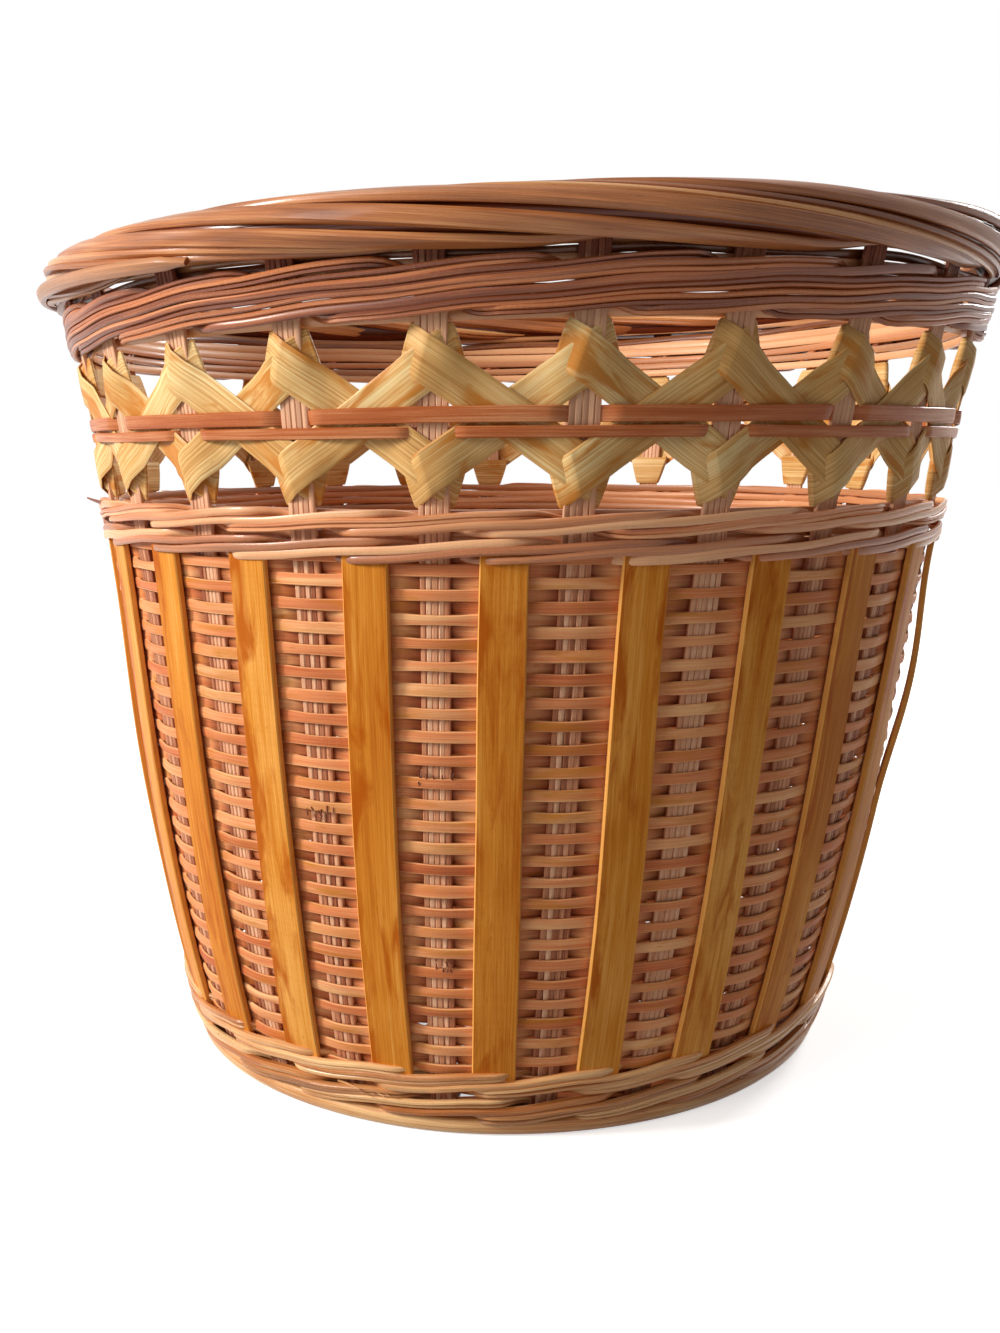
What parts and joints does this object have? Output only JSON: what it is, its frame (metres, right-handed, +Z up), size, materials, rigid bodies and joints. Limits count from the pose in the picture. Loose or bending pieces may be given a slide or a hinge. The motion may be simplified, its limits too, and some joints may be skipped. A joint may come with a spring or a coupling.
{
  "type": "woven bamboo planter",
  "caption": "Round tapered planter basket of woven bamboo, with upright slats, an open zigzag band of ribbons and a rolled border; it holds a plant pot.",
  "frame": {"origin": "centre of the flat ring that the planter stands on", "axes": "+Z up along the basket's axis, from the foot to the mouth"},
  "size_m": [0.2978, 0.2978, 0.243],
  "materials": {
    "border": "varnished bamboo splints, golden brown to dark brown",
    "wale": "thin twined bamboo strands, reddish brown, satin",
    "ribbon": "pale straw bamboo ribbon with fine lengthwise streaks, satin",
    "weaver": "flat orange-brown bamboo splint, satin",
    "slat": "golden orange bamboo slat with amber blotches, lightly varnished",
    "stake": "bundle of fine bamboo splints, pinkish tan",
    "body_weave": "flat horizontal bamboo weavers, pinkish orange with dark recesses",
    "base": "thick rounded bamboo strands, pale tan to brown, lightly varnished"
  },
  "bodies": {
    "root": {"border": "border", "upper_wale": "wale", "ribbon_first": "ribbon", "ribbon_second": "ribbon", "middle_weaver_upper": "weaver", "middle_weaver_lower": "weaver", "lower_wale": "wale", "body_weave": "body_weave", "base_band": "base", "foot_ring": "base", "base_spokes": "base", "base_mat": "base", "slat_01": "slat", "slat_02": "slat", "slat_03": "slat", "slat_04": "slat", "slat_05": "slat", "slat_06": "slat", "slat_07": "slat", "slat_08": "slat", "slat_09": "slat", "slat_10": "slat", "slat_11": "slat", "slat_12": "slat", "slat_13": "slat", "slat_14": "slat", "slat_15": "slat", "slat_16": "slat", "slat_17": "slat", "slat_18": "slat", "slat_19": "slat", "slat_20": "slat", "slat_21": "slat", "slat_22": "slat", "slat_23": "slat", "slat_24": "slat", "stake_01": "stake", "stake_02": "stake", "stake_03": "stake", "stake_04": "stake", "stake_05": "stake", "stake_06": "stake", "stake_07": "stake", "stake_08": "stake", "stake_09": "stake", "stake_10": "stake", "stake_11": "stake", "stake_12": "stake", "stake_13": "stake", "stake_14": "stake", "stake_15": "stake", "stake_16": "stake", "stake_17": "stake", "stake_18": "stake", "stake_19": "stake", "stake_20": "stake", "stake_21": "stake", "stake_22": "stake", "stake_23": "stake", "stake_24": "stake"}
  },
  "joints": []
}
